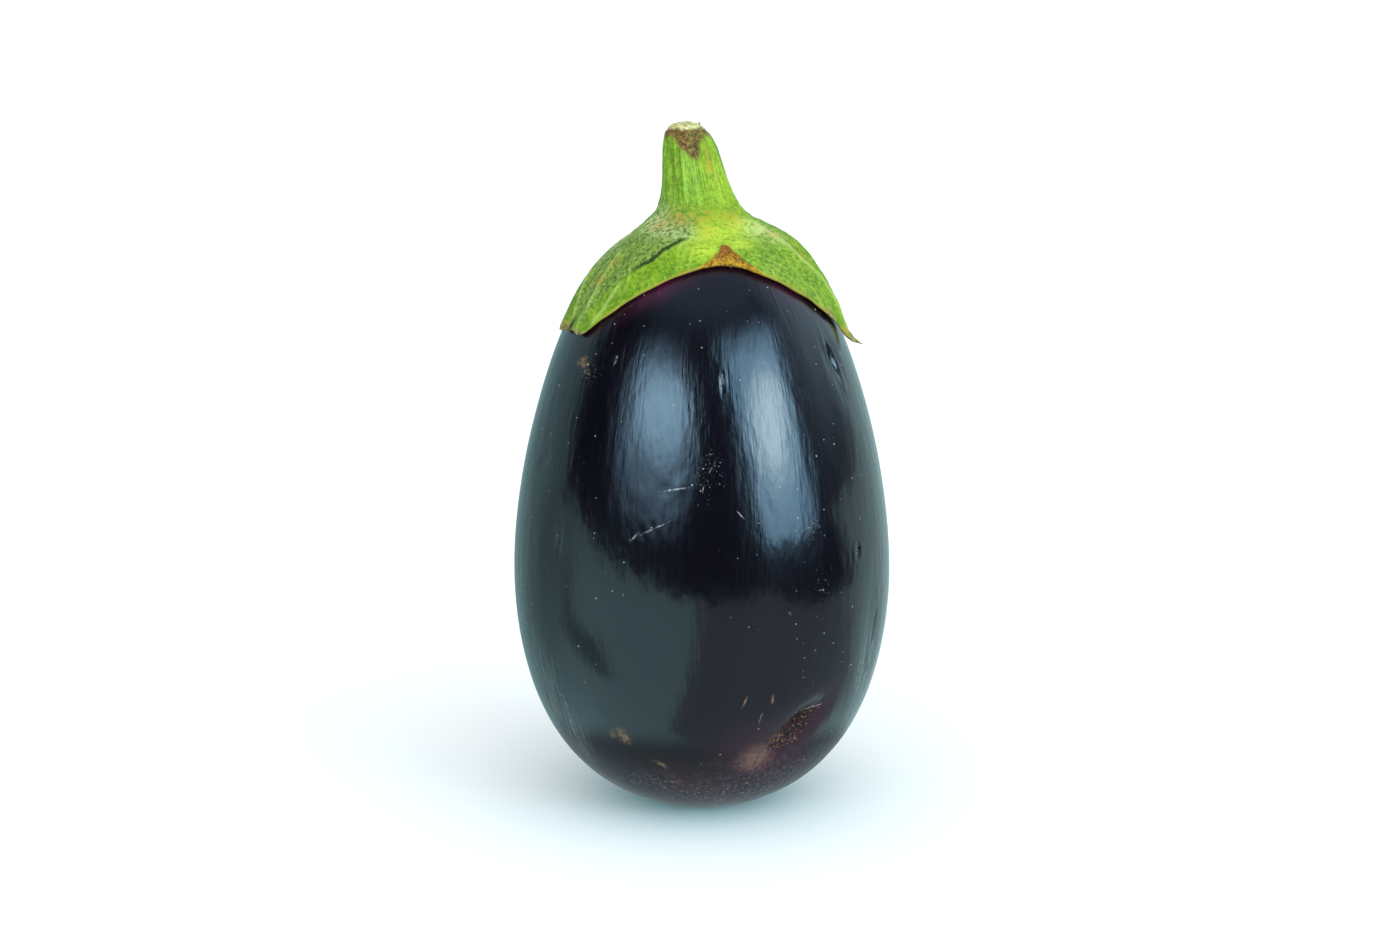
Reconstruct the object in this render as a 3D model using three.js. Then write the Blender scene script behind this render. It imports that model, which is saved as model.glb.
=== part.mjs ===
// An eggplant standing on its blossom end. It is two pieces: the glossy, egg-shaped fruit, and the green cap.
// The cap grew as one with its stem, lies over the fruit's shoulder and ends in five pointed sepals.
// Units are millimetres and +Z is up. The origin is the middle of the small flat spot that the fruit rests on.
// Azimuths are in degrees round the fruit's axis: 0 is the front (-Y) and 90 is the right side (+X).
// An arc is a distance along the fruit's skin, measured down from the middle of its top.
import * as THREE from "three";
import { mergeVertices } from "three/addons/utils/BufferGeometryUtils.js";

// Driving dimensions
const FRUIT_RADIUS = 44.8;
const FRUIT_HEIGHT = 141.5;
const STEM_TOP = 164.8;
const STEM_RADIUS = 5.35;
const STEM_LEAN = 3.75;
const CAP_GAP = 0.35;
const CAP_EDGE_THICKNESS = 1.0;

// How the section differs from an ellipse: widest below the middle, full towards the blossom end
const EGG_TERMS = [-0.165, 0.073, 0.073, 0.133];
// The blossom end would reach this far below the surface if it weren't pressed flat
const FLAT_DEPTH = 1.2;

// The fruit isn't quite round: each swell is a share of the radius, with its count round the axis and where
// it is highest
const SWELLS = [
  { share: 0.005, count: 2, azimuth: 24 },
  { share: 0.0035, count: 3, azimuth: -90 },
  { share: 0.002, count: 5, azimuth: 12 },
];

// Hollows in the skin, each with the place of its middle, half its width and length, its lean from upright,
// in degrees towards the right at the top, and its depth
const HOLLOWS = [
  { azimuth: 32.5, height: 26.5, half: [2.6, 7.4], lean: 50, depth: 2.3 },
  { azimuth: 31, height: 25.5, half: [7, 13], lean: 50, depth: 0.9 },
  { azimuth: -18, height: 49, half: [11, 22], lean: -8, depth: 0.55 },
  { azimuth: -49, height: 70, half: [3.4, 10], lean: 6, depth: 0.55 },
  { azimuth: 63, height: 44, half: [3.6, 13], lean: -8, depth: 0.5 },
  { azimuth: 61, height: 111, half: [3, 6], lean: -18, depth: 0.7 },
  { azimuth: -62, height: 88, half: [5, 7], lean: 60, depth: 0.4 },
  { azimuth: 150, height: 62, half: [9, 26], lean: 5, depth: 0.5 },
  { azimuth: -128, height: 84, half: [7, 20], lean: -4, depth: 0.45 },
  { azimuth: -156, height: 35, half: [5, 9], lean: 35, depth: 0.6 },
];

// Five sepals. Between its tip and the notch before or after it, a sepal's edge climbs with this power of the
// way, and blunt is the share of the way at which it already has its full reach.
// A beak is a narrow drawn-out point: its length, and half its width in degrees. Over the last part of a sepal,
// as long as lift, its end curls off the skin by curl. The rib is how strong the sepal's midrib is.
const SEPALS = [
  { azimuth: -76, reach: 43.3, blunt: 0.78, power: 2.0, beak: [0.9, 4], lift: 7, curl: 0.6, rib: 1.0 },
  { azimuth: 80, reach: 43.8, blunt: 0.97, power: 1.6, beak: [6.4, 1.25], lift: 5, curl: 4.3, rib: 1.25 },
  { azimuth: 133, reach: 39.5, blunt: 0.94, power: 1.5, beak: [3.8, 2.0], lift: 7, curl: 1.8, rib: 1.0 },
  { azimuth: 186, reach: 43.0, blunt: 0.98, power: 1.6, beak: [4.8, 1.7], lift: 6, curl: 2.8, rib: 1.15 },
  { azimuth: 233, reach: 40.5, blunt: 0.92, power: 1.6, beak: [3.0, 2.2], lift: 7, curl: 1.4, rib: 0.95 },
];
// The notch after each sepal, in the same order: its azimuth and its arc
const NOTCHES = [
  { azimuth: 14, arc: 23.0 },
  { azimuth: 107, arc: 29.5 },
  { azimuth: 159, arc: 26.5 },
  { azimuth: 210, arc: 28.5 },
  { azimuth: 256, arc: 30.5 },
];

// The stem's outline from the rim of its cut to where it flares into the cap: radius, height
const STEM_OUTLINE = [
  [STEM_RADIUS, 162.8],
  [6.2, 160.2],
  [6.9, 156.6],
  [7.4, 152.8],
  [8.1, 149.4],
  [9.1, 146.2],
  [10.7, 143.8],
  [13.4, 141.9],
];
// The cut end: share of the stem's radius there, drop below the top. The woody middle stands above the bark.
const CUT_OUTLINE = [
  [0, 0],
  [0.45, 0.1],
  [0.74, 0.5],
  [0.84, 1.5],
  [0.93, 2.0],
];
const STEM_FOOT = 141; // below this height, the stem's lean ends
const RIDGE_HALF_ANGLE = 17; // of a sepal's midrib round the stem and over the cap
const CAP_START_ARC = 17; // where the cap leaves the foot of the stem
const CAP_FLESH = 1.5; // how much thicker than its edge the cap is, further in
const CAP_RIB = 1.25; // how high a midrib stands on the cap
// Round this azimuth the cap is thinner, by this share
const LEAN_SIDE = { azimuth: -97, half: 50, share: 0.85 };
// The cap's edge is a little wavy: each ripple's height, its count round the edge and its start in degrees
const EDGE_RIPPLES = [
  [0.25, 23, 0],
  [0.2, 41, 50],
];
// The rim of the stem's cut lies lower over the half turn that starts at this azimuth
const WORN_START = 20;
const WORN_DEPTH = 1.3;

// Mesh sizes
const FRUIT_COLUMNS = 84;
const FRUIT_RINGS = 46;
const CAP_COLUMNS_PER_DEGREE = 0.29;
const STEM_RINGS = 9;
const CAP_OUTER_RINGS = 15;
const CAP_INNER_RINGS = 11;

const radians = THREE.MathUtils.degToRad;
const lerp = THREE.MathUtils.lerp;
const bell = (x) => Math.exp(-x * x);

// The angle from one azimuth to another, from -180 to 180
function angleBetween(from, to) {
  return THREE.MathUtils.euclideanModulo(to - from + 180, 360) - 180;
}

// The fruit's section from the middle of its top to the middle of its flat spot: x is the radius, y is the
// height
class FruitSection extends THREE.Curve {
  getPoint(t, target = new THREE.Vector2()) {
    const level = Math.cos(Math.PI * t);
    const fullness = EGG_TERMS.reduce((sum, term, i) => sum + term * level ** (i + 1), 1);
    const height = ((FRUIT_HEIGHT + FLAT_DEPTH) / 2) * (level + 1) - FLAT_DEPTH;
    return target.set(FRUIT_RADIUS * Math.sin(Math.PI * t) * fullness, height);
  }
}
const section = new FruitSection();
section.arcLengthDivisions = 800;
const SECTION_LENGTH = section.getLength();

function swell(azimuth, radius) {
  const fade = Math.min(1, radius / FRUIT_RADIUS) ** 2;
  return SWELLS.reduce(
    (sum, s) => sum + fade * s.share * Math.cos(radians(s.count * (azimuth - s.azimuth))),
    1,
  );
}

// How deep the skin lies below the smooth egg at this place
function hollowDepth(azimuth, radius, height) {
  return HOLLOWS.reduce((sum, hollow) => {
    const across = radians(angleBetween(hollow.azimuth, azimuth)) * radius;
    const up = height - hollow.height;
    const [c, s] = [Math.cos(radians(hollow.lean)), Math.sin(radians(hollow.lean))];
    const [halfWidth, halfLength] = hollow.half;
    const x = (across * c - up * s) / halfWidth;
    const y = (across * s + up * c) / halfLength;
    return sum + hollow.depth * bell(Math.hypot(x, y));
  }, 0);
}

// The place at this azimuth and arc, raised off the skin by out
function overSkin(azimuth, arc, out) {
  const share = THREE.MathUtils.clamp(arc / SECTION_LENGTH, 0, 1);
  const p = section.getPointAt(share);
  const t = section.getTangentAt(share);
  const radius = (p.x - t.y * out) * swell(azimuth, p.x);
  const a = radians(azimuth);
  return new THREE.Vector3(radius * Math.sin(a), -radius * Math.cos(a), p.y + t.x * out);
}

// Even steps from 0 to 1, drawn together round one of them by a strength from 0 to 1
function drawnTogether(t, round, strength) {
  const full = 2 * Math.PI;
  return t - (strength / full) * (Math.sin(full * (t - round)) + Math.sin(full * round));
}

// A closed body of revolution by three.js, whose points place(column, ring) then moves to their own places.
// Its first and last rings are single points on the axis.
function shapedLathe(columns, rings, place) {
  const upright = Array.from({ length: rings }, (_, ring) => {
    const turn = (Math.PI * ring) / (rings - 1);
    return new THREE.Vector2(Math.sin(turn), -Math.cos(turn));
  });
  const lathe = new THREE.LatheGeometry(upright, columns);
  const { position, uv } = lathe.attributes;
  for (let i = 0; i < position.count; i++) {
    const column = Math.round(uv.getX(i) * columns) % columns;
    const ring = Math.round((1 - uv.getY(i)) * (rings - 1));
    const p = place(column, ring);
    position.setXYZ(i, p.x, p.y, p.z);
  }
  lathe.deleteAttribute("normal");
  lathe.deleteAttribute("uv");
  const closed = mergeVertices(lathe, 1e-4);
  closed.computeVertexNormals();
  return closed;
}

// The fruit, with finer columns and rings round the scar low on its front
function fruitGeometry() {
  const [scarColumn, scarRing] = [HOLLOWS[0].azimuth / 360, 0.66];
  return shapedLathe(FRUIT_COLUMNS, FRUIT_RINGS, (column, ring) => {
    const azimuth = 360 * drawnTogether(column / FRUIT_COLUMNS, scarColumn, 0.5);
    const arc = SECTION_LENGTH * drawnTogether(ring / (FRUIT_RINGS - 1), scarRing, 0.55);
    const smooth = overSkin(azimuth, arc, 0);
    const radius = Math.hypot(smooth.x, smooth.y);
    const p = overSkin(azimuth, arc, -hollowDepth(azimuth, radius, smooth.z));
    p.z = Math.max(p.z, 0);
    return p;
  });
}

// The cap's edge at this azimuth: its arc, and how far along a sepal's drawn-out point it is, from 0 to 1
function capEdge(azimuth) {
  const turned = THREE.MathUtils.euclideanModulo(azimuth - SEPALS[0].azimuth, 360) + SEPALS[0].azimuth;
  const index = SEPALS.findLastIndex((sepal) => turned >= sepal.azimuth);
  const [before, notch] = [SEPALS[index], NOTCHES[index]];
  const after = SEPALS[(index + 1) % SEPALS.length];
  const sepal = turned < notch.azimuth ? before : after;
  const away = Math.abs(angleBetween(sepal.azimuth, turned));
  const halfSpan = Math.abs(angleBetween(sepal.azimuth, notch.azimuth));
  const climb = Math.min(1, (1 - away / halfSpan) / sepal.blunt) ** sepal.power;
  const [beakLength, beakHalf] = sepal.beak;
  const beak = bell(away / beakHalf);
  const ripple = EDGE_RIPPLES.reduce(
    (sum, [height, count, start]) => sum + height * Math.sin(radians(azimuth * count + start)),
    0,
  );
  const arc = lerp(notch.arc, sepal.reach, climb) + ripple * (1 - beak);
  return { arc: arc + beakLength * beak, sepal, beak };
}

// How far the rim of the stem's cut is worn at this azimuth, from 0 to 1
function wornAt(azimuth) {
  return Math.max(0, Math.sin(radians(azimuth - WORN_START)));
}

// 1 on the midrib of a sepal and 0 between two
function midrib(azimuth) {
  return SEPALS.reduce(
    (sum, sepal) => sum + sepal.rib * bell(angleBetween(sepal.azimuth, azimuth) / RIDGE_HALF_ANGLE),
    0,
  );
}

// How far the end of a sepal stands off the skin
function curlAt(edge, arc) {
  const { reach, beak, lift, curl } = edge.sepal;
  const along = THREE.MathUtils.clamp((arc - (reach + beak[0] - lift)) / lift, 0, 1.2);
  return curl * along ** 1.8 * bell(1.2 * (1 - edge.beak));
}

// The cap is fleshy over the shoulder, thins towards its edge, and is thinner all over on its lean side
function capThickness(azimuth, arc, edge) {
  const inwards = 1 - arc / edge.arc;
  const flesh = CAP_FLESH * Math.min(1, 1.6 * inwards);
  const rib = CAP_RIB * Math.min(1, midrib(azimuth)) * Math.min(1, 1.9 * inwards);
  const neck = 1 - 0.2 * bell((arc - CAP_START_ARC) / 3);
  const thin = LEAN_SIDE.share * bell(angleBetween(LEAN_SIDE.azimuth, azimuth) / LEAN_SIDE.half);
  return CAP_EDGE_THICKNESS * (1 - 0.3 * thin) + (flesh + rib) * neck * (1 - thin);
}

// A place on the stem: radius and height, moved over for the stem's lean, with the sepals' ridges on its side
function onStem(azimuth, radius, height) {
  const up = Math.max(0, height - STEM_FOOT) / (STEM_TOP - STEM_FOOT);
  const angular = 1 + 0.045 * (midrib(azimuth) - 0.5) * (1 - 0.4 * up);
  const a = radians(azimuth);
  return new THREE.Vector3(
    radius * angular * Math.sin(a) - STEM_LEAN * up ** 0.95,
    -radius * angular * Math.cos(a) + 0.25 * STEM_LEAN * up,
    height,
  );
}

// Columns run straight down the sepals' middles, and stand close together there
function capAzimuths() {
  return SEPALS.flatMap((sepal, i) => {
    const next = SEPALS[(i + 1) % SEPALS.length].azimuth;
    const span = THREE.MathUtils.euclideanModulo(next - sepal.azimuth, 360);
    const columns = Math.round(span * CAP_COLUMNS_PER_DEGREE);
    return Array.from({ length: columns }, (_, column) => {
      return sepal.azimuth + span * drawnTogether(column / columns, 0, 0.72);
    });
  });
}

// The cap with its stem, from the middle of the cut end, down the stem, out over the cap to its edge, and
// back along its underside, which lies close over the fruit
function capGeometry() {
  const azimuths = capAzimuths();
  const stem = new THREE.SplineCurve(STEM_OUTLINE.map(([r, z]) => new THREE.Vector2(r, z)));
  const stemStart = CUT_OUTLINE.length;
  const outerStart = stemStart + STEM_RINGS;
  const innerStart = outerStart + CAP_OUTER_RINGS;
  const rings = innerStart + CAP_INNER_RINGS;
  return shapedLathe(azimuths.length, rings, (column, ring) => {
    const azimuth = azimuths[column];
    const edge = capEdge(azimuth);
    if (ring < stemStart) {
      const [share, drop] = CUT_OUTLINE[ring];
      return onStem(azimuth, share * STEM_RADIUS, STEM_TOP - drop - 0.6 * share * wornAt(azimuth));
    }
    if (ring < outerStart) {
      const down = (ring - stemStart) / (STEM_RINGS - 1);
      const p = stem.getPoint(down);
      const sunk = 0.9 * (1 - Math.min(1, midrib(azimuth))) * down ** 6;
      const worn = WORN_DEPTH * wornAt(azimuth) * (1 - down) ** 8;
      return onStem(azimuth, p.x, p.y - sunk - worn);
    }
    if (ring < innerStart) {
      const along = (ring - outerStart) / (CAP_OUTER_RINGS - 1);
      const arc = lerp(CAP_START_ARC, edge.arc, along ** 0.85);
      const out = CAP_GAP + capThickness(azimuth, arc, edge) + curlAt(edge, arc);
      return overSkin(azimuth, arc, out);
    }
    const along = 1 - (ring - innerStart) / (CAP_INNER_RINGS - 1);
    const arc = edge.arc * along ** 0.8;
    return overSkin(azimuth, arc, CAP_GAP + curlAt(edge, arc) * along);
  });
}

function piece(name, geometry, colour, roughness) {
  const material = new THREE.MeshStandardMaterial({ color: colour, roughness, metalness: 0 });
  const mesh = new THREE.Mesh(geometry, material);
  mesh.name = name;
  return mesh;
}

const eggplant = new THREE.Group();
eggplant.add(piece("fruit", fruitGeometry(), 0x17121c, 0.25));
eggplant.add(piece("cap_and_stem", capGeometry(), 0x7fa336, 0.6));

export default eggplant;
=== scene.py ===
# %% [markdown]
# # A ripe eggplant on a white table
# The object is a large egg-shaped eggplant that stands on its blossom end. It has two pieces: the fruit,
# with a waxy skin that looks almost black, and the green cap, which grew as one with the stem.
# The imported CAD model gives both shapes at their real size. This script copies them, makes them smooth,
# adds the small relief that a solid model leaves out, and gives each its finish.
# Lengths in the script are in millimetres, and become metres only where Blender needs them.

import math

import bmesh
import bpy
import numpy as np
from mathutils import Matrix, Vector, kdtree, noise


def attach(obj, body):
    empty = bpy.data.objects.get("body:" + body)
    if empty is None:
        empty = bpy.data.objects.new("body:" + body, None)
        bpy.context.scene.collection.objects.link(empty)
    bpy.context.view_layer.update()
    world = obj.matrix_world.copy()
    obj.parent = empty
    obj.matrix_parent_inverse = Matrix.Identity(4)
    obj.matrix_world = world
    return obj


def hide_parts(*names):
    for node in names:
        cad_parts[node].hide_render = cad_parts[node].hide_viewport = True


MM = 0.001
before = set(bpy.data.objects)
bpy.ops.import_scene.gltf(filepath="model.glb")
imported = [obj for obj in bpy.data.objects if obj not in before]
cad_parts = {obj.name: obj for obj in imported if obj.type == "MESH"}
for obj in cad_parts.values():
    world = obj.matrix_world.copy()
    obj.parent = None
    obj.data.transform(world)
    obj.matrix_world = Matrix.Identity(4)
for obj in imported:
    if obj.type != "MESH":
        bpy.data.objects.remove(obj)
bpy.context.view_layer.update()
print("CAD nodes:", ", ".join(sorted(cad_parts)))

# %% [markdown]
# ## The camera
# It is made first, so that every later step can be looked at from the right place. The view looks down by
# 13 degrees with a long lens, so the fruit's sides stay almost parallel. The lens is 80 mm on a 36 mm wide
# sensor.

# %% Make the camera
CAMERA_PITCH = 13
CAMERA_DISTANCE = 746.7
CAMERA_AIM = Vector((-0.48, 0, 82.25))

pitch = math.radians(CAMERA_PITCH)
towards_camera = Vector((0, -math.cos(pitch), math.sin(pitch)))
camera_data = bpy.data.cameras.new("camera")
camera_data.lens = 80
camera_data.sensor_width = 36
camera_data.clip_end = 20
camera = bpy.data.objects.new("camera", camera_data)
camera.location = (CAMERA_AIM + towards_camera * CAMERA_DISTANCE) * MM
camera.rotation_euler = (-towards_camera).to_track_quat("-Z", "Y").to_euler()
bpy.context.scene.collection.objects.link(camera)
bpy.context.scene.camera = camera
print("camera at, in mm:", [round(v / MM) for v in camera.location])

# %% [markdown]
# ## Where things are on the fruit
# On a round fruit it is easiest to say where a mark is by its azimuth, 0 at the front and 90 on the right,
# and by its arc, the distance along the skin from the middle of the top. The fruit's section is the same
# curve as in the solid model, so a point in space can be turned into azimuth, arc and height above the
# skin, and back.

# %% The fruit's section
FRUIT_RADIUS = 44.8
FRUIT_HEIGHT = 141.5
FLAT_DEPTH = 1.2
EGG_TERMS = [-0.165, 0.073, 0.073, 0.133]

turn = np.linspace(0, np.pi, 1600)
level = np.cos(turn)
fullness = 1 + sum(term * level ** (i + 1) for i, term in enumerate(EGG_TERMS))
section_radius = FRUIT_RADIUS * np.sin(turn) * fullness
section_height = (FRUIT_HEIGHT + FLAT_DEPTH) / 2 * (level + 1) - FLAT_DEPTH
section_arc = np.concatenate([[0], np.cumsum(np.hypot(np.diff(section_radius), np.diff(section_height)))])
slope = np.stack([np.gradient(section_radius), np.gradient(section_height)])
slope /= np.hypot(*slope)
section_tree = kdtree.KDTree(len(turn))
for i in range(len(turn)):
    section_tree.insert((section_radius[i], section_height[i], 0), i)
section_tree.balance()
print("widest:", round(2 * section_radius.max(), 1), "mm; along the skin:", round(section_arc[-1], 1), "mm")


# %% From a point in space to a place on the skin, and back
def skin_places(points):
    """Azimuth in degrees, arc and height above the skin of points in millimetres."""
    radius = np.hypot(points[:, 0], points[:, 1])
    nearest = np.array([section_tree.find((r, z, 0))[1] for r, z in zip(radius, points[:, 2])])
    from_skin = np.stack([radius - section_radius[nearest], points[:, 2] - section_height[nearest]])
    out = -from_skin[0] * slope[1, nearest] + from_skin[1] * slope[0, nearest]
    azimuth = np.degrees(np.arctan2(points[:, 0], -points[:, 1]))
    return azimuth, section_arc[nearest], out


def skin_frame(azimuth, arc, lean=0):
    """The place on the skin, in millimetres, with its axes across, along and out as a matrix.
    Along points to the top of the fruit, and leans by that many degrees to the right."""
    a = math.radians(azimuth)
    radius = np.interp(arc, section_arc, section_radius)
    height = np.interp(arc, section_arc, section_height)
    down_r, down_z = np.interp(arc, section_arc, slope[0]), np.interp(arc, section_arc, slope[1])
    outward = Vector((math.sin(a), -math.cos(a), 0))
    across = Vector((math.cos(a), math.sin(a), 0))
    up = -(outward * down_r + Vector((0, 0, down_z)))
    c, s = math.cos(math.radians(lean)), math.sin(math.radians(lean))
    axes = Matrix([across * c - up * s, across * s + up * c, (across.cross(up)).normalized()]).transposed()
    return outward * radius + Vector((0, 0, height)), axes


def arc_at(height):
    """The arc at which the skin is this high above the table."""
    return float(np.interp(-height, -section_height, section_arc))


print("half-way up, the arc is", round(arc_at(FRUIT_HEIGHT / 2), 1), "mm")

# %% [markdown]
# ## Smooth copies of the solids
# The solid model is made of flat facets a few millimetres wide. A copy has its doubled points merged, and
# its triangles joined to four-sided faces, because Catmull-Clark subdivision runs smoothly over those. The
# result is kept as a plain mesh, so that the relief can then be worked into its points. The solids
# themselves stay as they are for the physics.


# %% Copy a solid and subdivide it
def smooth_copy(node, name, levels):
    """A new object with a smooth mesh, made from the facets of a solid."""
    bm = bmesh.new()
    bm.from_mesh(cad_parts[node].data)
    bmesh.ops.remove_doubles(bm, verts=bm.verts, dist=0.002 * MM)
    bmesh.ops.join_triangles(
        bm, faces=bm.faces, angle_face_threshold=math.radians(60), angle_shape_threshold=math.radians(80)
    )
    cage = bpy.data.meshes.new(name)
    bm.to_mesh(cage)
    bm.free()
    cage.materials.clear()
    piece = bpy.data.objects.new(name, cage)
    bpy.context.scene.collection.objects.link(piece)
    smoothing = piece.modifiers.new("smoothing", "SUBSURF")
    smoothing.levels = smoothing.render_levels = levels
    shaped = piece.evaluated_get(bpy.context.evaluated_depsgraph_get())
    piece.data = bpy.data.meshes.new_from_object(shaped)
    piece.modifiers.clear()
    piece.data.name = name
    piece.data.shade_smooth()
    quads = sum(len(face.vertices) == 4 for face in cage.polygons)
    print(f"{name}: {quads} of {len(cage.polygons)} faces have four sides")
    print(f"{name}: {len(piece.data.polygons)} faces when smooth")
    return piece


fruit = smooth_copy("fruit", "glossy_fruit", 2)
cap = smooth_copy("cap_and_stem", "green_cap_and_stem", 2)


# %% Read and move a mesh's points
def read_points(piece):
    """A mesh's points, in millimetres, and their normals."""
    points = np.empty(len(piece.data.vertices) * 3)
    normals = np.empty(len(piece.data.vertices) * 3)
    piece.data.vertices.foreach_get("co", points)
    piece.data.vertex_normals.foreach_get("vector", normals)
    return points.reshape(-1, 3) / MM, normals.reshape(-1, 3)


def raise_points(piece, points, normals, heights):
    """Moves each point along its normal, by a height in millimetres."""
    piece.data.vertices.foreach_set("co", ((points + normals * heights[:, None]) * MM).ravel())
    piece.data.update()


fruit_points, fruit_normals = read_points(fruit)
fruit_azimuth, fruit_arc, fruit_out = skin_places(fruit_points)
print("fruit:", len(fruit_points), "points, the deepest", -fruit_out.min().round(2), "mm inside its section")

# %% [markdown]
# ## The fruit's scars
# Real skin is never perfect: this one has a healed wound low on the front, and some nicks and dents, which
# show most where they break up a reflection. The broad hollows are in the solid model. Here the small ones
# are pressed in, each as a soft ellipse with a slightly raised lip, and the whole skin gets a very slight
# unevenness. A bump map would be less work, but only moved points also show at a slant and at the edge.


# %% Where the scars are
def grain(points, width, length=None, seed=0):
    """Smooth noise from -1 to 1 at each point: features are about width across, and length along Z."""
    scaled = points / np.array([width, width, length or width]) + seed * 17.3
    return np.array([noise.noise(p) for p in scaled])


def bell(x):
    """1 at 0, and fading to 0 on both sides, like a bell."""
    return np.exp(-(x**2))


# name: azimuth, height, half width, half length, lean, depth, lip
SCARS = {
    "wound floor": (32.2, 26.4, 1.7, 5.4, 44, 1.4, 0.0),
    "wound lip": (28.8, 28.0, 0.8, 4.4, 44, -0.35, 0.0),
    "slit under the cap": (61.5, 111.5, 0.75, 3.4, -14, 0.9, 0.22),
    "pit on the right": (53.8, 68.2, 0.8, 1.1, 0, 0.5, 0.15),
    "line on the right": (65.7, 47.3, 0.5, 5.0, 4, 0.4, 0.1),
    "low pit on the right": (64.5, 37.5, 0.7, 0.9, 0, 0.45, 0.12),
    "dent on the left": (-49.1, 71.0, 0.9, 4.6, 4, 0.5, 0.1),
    "groove on the left": (-62.7, 88.2, 0.7, 2.6, 62, 0.3, 0.1),
    "nick in the middle": (7.3, 109.8, 0.45, 1.5, 4, 0.3, 0.12),
    "nick in the left highlight": (-35.7, 113.7, 0.5, 1.2, 10, 0.3, 0.1),
    "scratch": (-9.6, 86.6, 0.4, 4.0, 78, 0.16, 0.08),
    "lower scratch": (-16.2, 77.2, 0.4, 4.8, 62, 0.13, 0.06),
    "nick at the back": (171.0, 78.0, 0.6, 3.0, -20, 0.4, 0.12),
    "pit on the back": (-140.0, 52.0, 0.9, 1.3, 0, 0.5, 0.15),
}
print(len(SCARS), "scars")

# %% Press the scars into the fruit
# the whole skin is uneven by 0.07 mm broadly and by 0.03 mm finely
fruit_relief = 0.07 * grain(fruit_points, 9, 22) + 0.03 * grain(fruit_points, 4, 14, seed=1)
for azimuth, height, half_width, half_length, lean, depth, lip in SCARS.values():
    place, axes = skin_frame(azimuth, arc_at(height), lean)
    local = (fruit_points - np.array(place)) @ np.array(axes)
    distance = np.hypot(local[:, 0] / half_width, local[:, 1] / half_length)
    # a mark fades within about 12 mm of its plane, so it never reaches the other side of the fruit
    near = bell(local[:, 2] / 12)
    fruit_relief += near * (lip * bell((distance - 1.7) / 0.55) - depth * bell(distance))
# the wound is torn, so its floor gets a coarse and a fine grain
place, axes = skin_frame(32.5, arc_at(26.7), 51)
local = (fruit_points - np.array(place)) @ np.array(axes)
wound_mask = bell(np.hypot(local[:, 0] / 3.1, local[:, 1] / 7.0) ** 2)
fruit_relief += wound_mask * (0.5 * grain(fruit_points, 1.5) + 0.25 * grain(fruit_points, 0.8, seed=2))
# the flat spot that it stands on stays flat
fruit_relief[fruit_points[:, 2] < 0.4] = 0
raise_points(fruit, fruit_points, fruit_normals, fruit_relief)
print("relief on the fruit:", fruit_relief.min().round(2), "to", fruit_relief.max().round(2), "mm")

# %% [markdown]
# ## The cap's edge
# The five sepals end in points, with notches between them. The edge is the same curve as in the solid
# model: an arc for each azimuth. The distance from this edge is what the veins, the dry rim and the cork in
# the notches follow, so it is worked out once for every point of the cap.

# %% Where the cap's edge is
# azimuth, reach, blunt share, power, beak, beak's half width
SEPALS = [
    (-76, 43.3, 0.78, 2.0, 0.9, 4.0),
    (80, 43.8, 0.97, 1.6, 6.4, 1.25),
    (133, 39.5, 0.94, 1.5, 3.8, 2.0),
    (186, 43.0, 0.98, 1.6, 4.8, 1.7),
    (233, 40.5, 0.92, 1.6, 3.0, 2.2),
]
# azimuth and arc of the notch that follows each sepal
NOTCHES = [(14, 23.0), (107, 29.5), (159, 26.5), (210, 28.5), (256, 30.5)]


def turn_between(start, end):
    """The turn from one angle to another, from -180 to 180 degrees."""
    return (end - start + 180) % 360 - 180


def cap_edge(azimuth):
    """The arc at which the cap ends at this azimuth."""
    azimuth = (azimuth - SEPALS[0][0]) % 360 + SEPALS[0][0]
    index = max(i for i, sepal in enumerate(SEPALS) if azimuth >= sepal[0])
    notch = NOTCHES[index]
    sepal = SEPALS[index] if azimuth < notch[0] else SEPALS[(index + 1) % 5]
    middle, reach, blunt, power, beak, beak_half = sepal
    away = abs(turn_between(middle, azimuth))
    climb = min(1, (1 - away / abs(turn_between(middle, notch[0]))) / blunt) ** power
    return notch[1] + (reach - notch[1]) * climb + beak * math.exp(-((away / beak_half) ** 2))


edge_azimuths = np.linspace(-180, 180, 1441)
edge_arcs = np.array([cap_edge(a) for a in edge_azimuths])
cap_points, cap_normals = read_points(cap)
cap_azimuth, cap_arc, cap_out = skin_places(cap_points)
cap_inward = np.interp(cap_azimuth, edge_azimuths, edge_arcs) - cap_arc
print("the edge's arc runs from", edge_arcs.min().round(1), "to", edge_arcs.max().round(1), "mm")

# %% [markdown]
# ## The cap's relief
# The cap is tough green tissue with veins that fan out from the stem to the points. On the left sepal a
# thicker, darker layer ends in a low step, with two pale ribs below it, and on the right sepal a pale ridge
# runs down the top. Each fold is a line of places on the skin, and a point's height comes from its distance
# to that line.

# %% Lines and spots on the cap
# each place is an azimuth and an arc
STEP_LINE = [(-9.7, 14.9), (-18.8, 17.7), (-25.6, 19.9), (-29.4, 22.6), (-38.3, 26.0), (-43.4, 28.5)]
RIBS = [
    [(-82, 26), (-75.3, 32.4), (-70.2, 37.2), (-66.5, 41.6)],
    [(-43.4, 28.5), (-46.1, 32.9), (-48.5, 36.9), (-52.4, 40.3)],
    [(50, 9), (67.3, 11.9), (64.5, 18.3), (67.7, 25.1), (75.6, 31.7), (79, 38), (80, 48)],
    [(-127, 14), (-127, 26), (-127, 40)],
    [(133, 14), (133, 26), (133, 40)],
    [(186, 14), (186, 28), (186, 44)],
    [(-62, 20), (-58, 27), (-58, 33), (-59, 38)],
]
# the cap's outside lies about 2 mm above the fruit's skin
CAP_OUTSIDE = 2.0


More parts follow.
